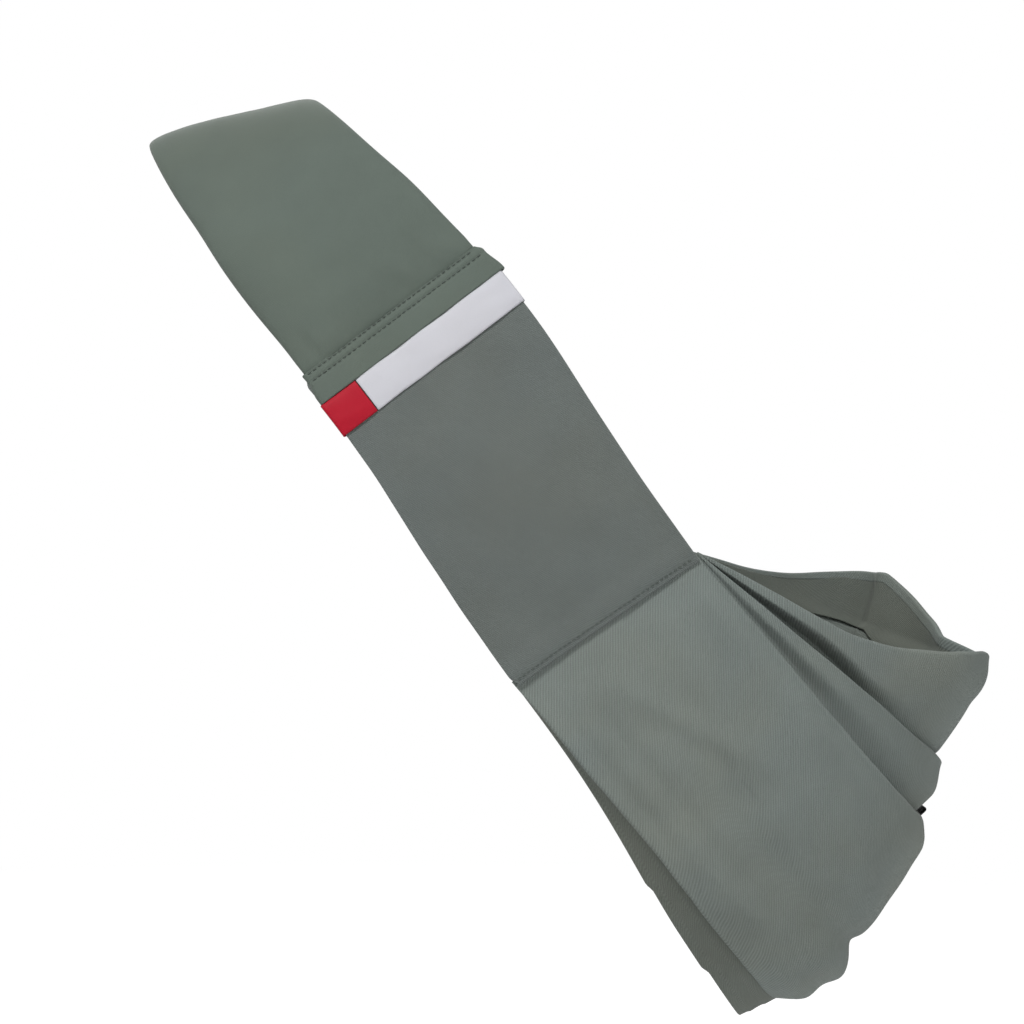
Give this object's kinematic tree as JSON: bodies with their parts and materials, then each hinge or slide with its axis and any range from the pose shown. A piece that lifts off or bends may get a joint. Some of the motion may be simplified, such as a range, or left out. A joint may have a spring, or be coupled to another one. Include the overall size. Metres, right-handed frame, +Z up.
{
  "type": "arm sling",
  "caption": "Cross-body fabric sling: padded shoulder, two-layer strap and a pleated pouch whose top rail and middle pleat fan open at the hip.",
  "frame": {"origin": "underside of the shoulder pad on the crest of the shoulder, mid-width", "axes": "+X across the wearer towards the pouch, +Y towards the wearer's back, +Z up"},
  "size_m": [0.4821, 0.2434, 0.5166],
  "materials": {
    "pad_fabric": "smooth sateen-like cotton over foam",
    "foam": "closed polyurethane foam core",
    "lining_fabric": "plain woven cotton",
    "thread": "matching polyester sewing thread",
    "ribbon": "pale woven satin ribbon, bare",
    "ribbon_end": "red woven satin ribbon end, bare",
    "canvas": "fine plain-woven canvas",
    "twill": "ribbed cotton twill",
    "lining_twill": "wrong side of the twill",
    "webbing": "black woven webbing",
    "tab_thread": "black bar-tack thread"
  },
  "bodies": {
    "root": {"pad_cover": "pad_fabric", "pad_foam": "foam", "pad_lining": "lining_fabric", "front_pad_hem": "pad_fabric", "rear_pad_hem": "pad_fabric", "front_hem_threads": "thread", "rear_hem_threads": "thread", "label_ribbon": "ribbon", "label_end": "ribbon_end", "front_strap_face": "canvas", "front_strap_lining": "lining_fabric", "rear_strap_face": "canvas", "rear_strap_lining": "lining_fabric", "front_seam_hem": "canvas", "rear_seam_hem": "canvas", "front_seam_thread": "thread", "rear_seam_thread": "thread", "pouch_outer_panel": "twill", "pouch_bottom": "twill", "pouch_inner_wall": "lining_twill", "webbing_tab": "webbing", "tab_bartack": "tab_thread"},
    "middle_pleat": {"middle_pleat": "twill"},
    "top_rail": {"top_rail": "twill", "rail_inner_leaf": "lining_twill"}
  },
  "joints": [
    {"name": "rail_fan", "type": "hinge", "parent": "root", "child": "top_rail", "pos_m": [0.24933, 0, -0.23534], "axis": [0, -1, 0], "range_deg": [-18, 12]},
    {"name": "pleat_fan", "type": "hinge", "parent": "root", "child": "middle_pleat", "pos_m": [0.24933, 0, -0.23534], "axis": [0, -1, 0], "range_deg": [-9, 6]}
  ],
  "couplings": [
    {"joint": "pleat_fan", "follows": "rail_fan", "ratio": 0.5}
  ]
}
